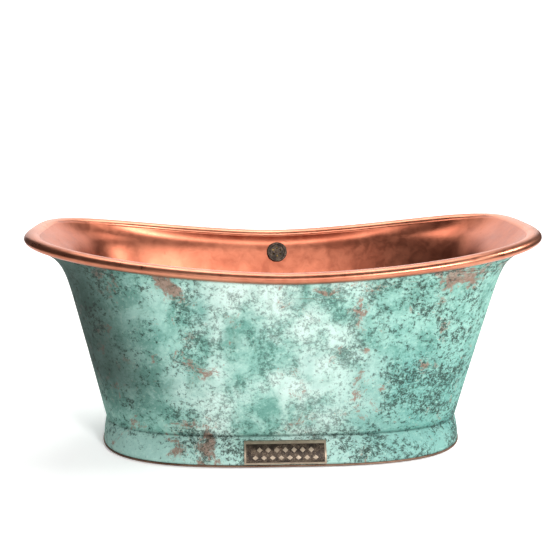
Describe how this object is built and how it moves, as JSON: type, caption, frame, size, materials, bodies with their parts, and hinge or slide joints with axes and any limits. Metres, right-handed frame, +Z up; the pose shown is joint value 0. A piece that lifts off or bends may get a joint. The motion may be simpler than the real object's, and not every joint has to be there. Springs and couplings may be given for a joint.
{
  "type": "freestanding bathtub",
  "caption": "Freestanding double-skinned metal bath with raised ends, rolled rim, flared plinth, wall overflow and pop-up waste.",
  "frame": {"origin": "on the floor under the middle of the bath, centre of the bounding box's bottom face", "axes": "+Z up, +X along the length towards the slightly wider and higher head end, +Y towards the overflow side"},
  "size_m": [1.654, 0.8374, 0.73],
  "materials": {
    "inner_copper": "planished and satin-burnished copper, lightly mottled",
    "rim_copper": "burnished copper roll, brighter on its crown",
    "verdigris_copper": "aged blue-green verdigris with dark pits and brown patches",
    "wired_edge": "dull brown copper wired edge",
    "aged_bronze": "dark aged bronze, rubbed on its raised edges",
    "polished_copper": "polished copper plating",
    "plain_brass": "plain cast and drawn brass",
    "zinc_steel": "bright zinc plating",
    "painted_frame": "black powder coat",
    "birch_board": "exterior birch plywood",
    "grey_felt": "dense grey felt",
    "black_rubber": "black rubber"
  },
  "bodies": {
    "tub": {"base_board": "birch_board", "bearer_left": "painted_frame", "bearer_right": "painted_frame", "felt_pad": "grey_felt", "foot_bushes": "zinc_steel", "foot_lock_nuts": "zinc_steel", "hoop_lugs": "painted_frame", "inner_bath": "inner_copper", "nameplate": "aged_bronze", "outer_skin_back": "verdigris_copper", "outer_skin_front": "verdigris_copper", "overflow_body": "plain_brass", "overflow_coupling_lower": "plain_brass", "overflow_coupling_upper": "plain_brass", "overflow_grille": "aged_bronze", "overflow_pipe": "plain_brass", "overflow_ring": "aged_bronze", "overflow_screw": "aged_bronze", "overflow_seal_back": "black_rubber", "overflow_seal_front": "black_rubber", "plinth_back": "verdigris_copper", "plinth_bead_back": "wired_edge", "plinth_bead_front": "wired_edge", "plinth_front": "verdigris_copper", "plug_spring": "zinc_steel", "rail_back": "painted_frame", "rail_front": "painted_frame", "rim_joint_sleeves": "plain_brass", "rim_roll_left": "rim_copper", "rim_roll_right": "rim_copper", "seam_strap_left": "plain_brass", "seam_strap_right": "plain_brass", "waist_hoop": "zinc_steel", "waste_body": "plain_brass", "waste_flange": "polished_copper", "waste_seal_lower": "black_rubber", "waste_seal_upper": "black_rubber"},
    "plug": {"plug_cap": "polished_copper", "plug_seal": "black_rubber", "plug_stem": "plain_brass"},
    "foot_front_left": {"foot_stud_front_left": "zinc_steel", "foot_pad_front_left": "black_rubber"},
    "foot_front_right": {"foot_stud_front_right": "zinc_steel", "foot_pad_front_right": "black_rubber"},
    "foot_back_left": {"foot_stud_back_left": "zinc_steel", "foot_pad_back_left": "black_rubber"},
    "foot_back_right": {"foot_stud_back_right": "zinc_steel", "foot_pad_back_right": "black_rubber"}
  },
  "joints": [
    {"name": "plug_lift", "type": "slide", "parent": "tub", "child": "plug", "axis": [0, 0, 1], "range_m": [0, 0.009], "deforming": ["plug_spring"]},
    {"name": "foot_height_front_left", "type": "slide", "parent": "tub", "child": "foot_front_left", "axis": [0, 0, -1], "range_m": [0, 0.015]},
    {"name": "foot_height_front_right", "type": "slide", "parent": "tub", "child": "foot_front_right", "axis": [0, 0, -1], "range_m": [0, 0.015]},
    {"name": "foot_height_back_left", "type": "slide", "parent": "tub", "child": "foot_back_left", "axis": [0, 0, -1], "range_m": [0, 0.015]},
    {"name": "foot_height_back_right", "type": "slide", "parent": "tub", "child": "foot_back_right", "axis": [0, 0, -1], "range_m": [0, 0.015]}
  ]
}
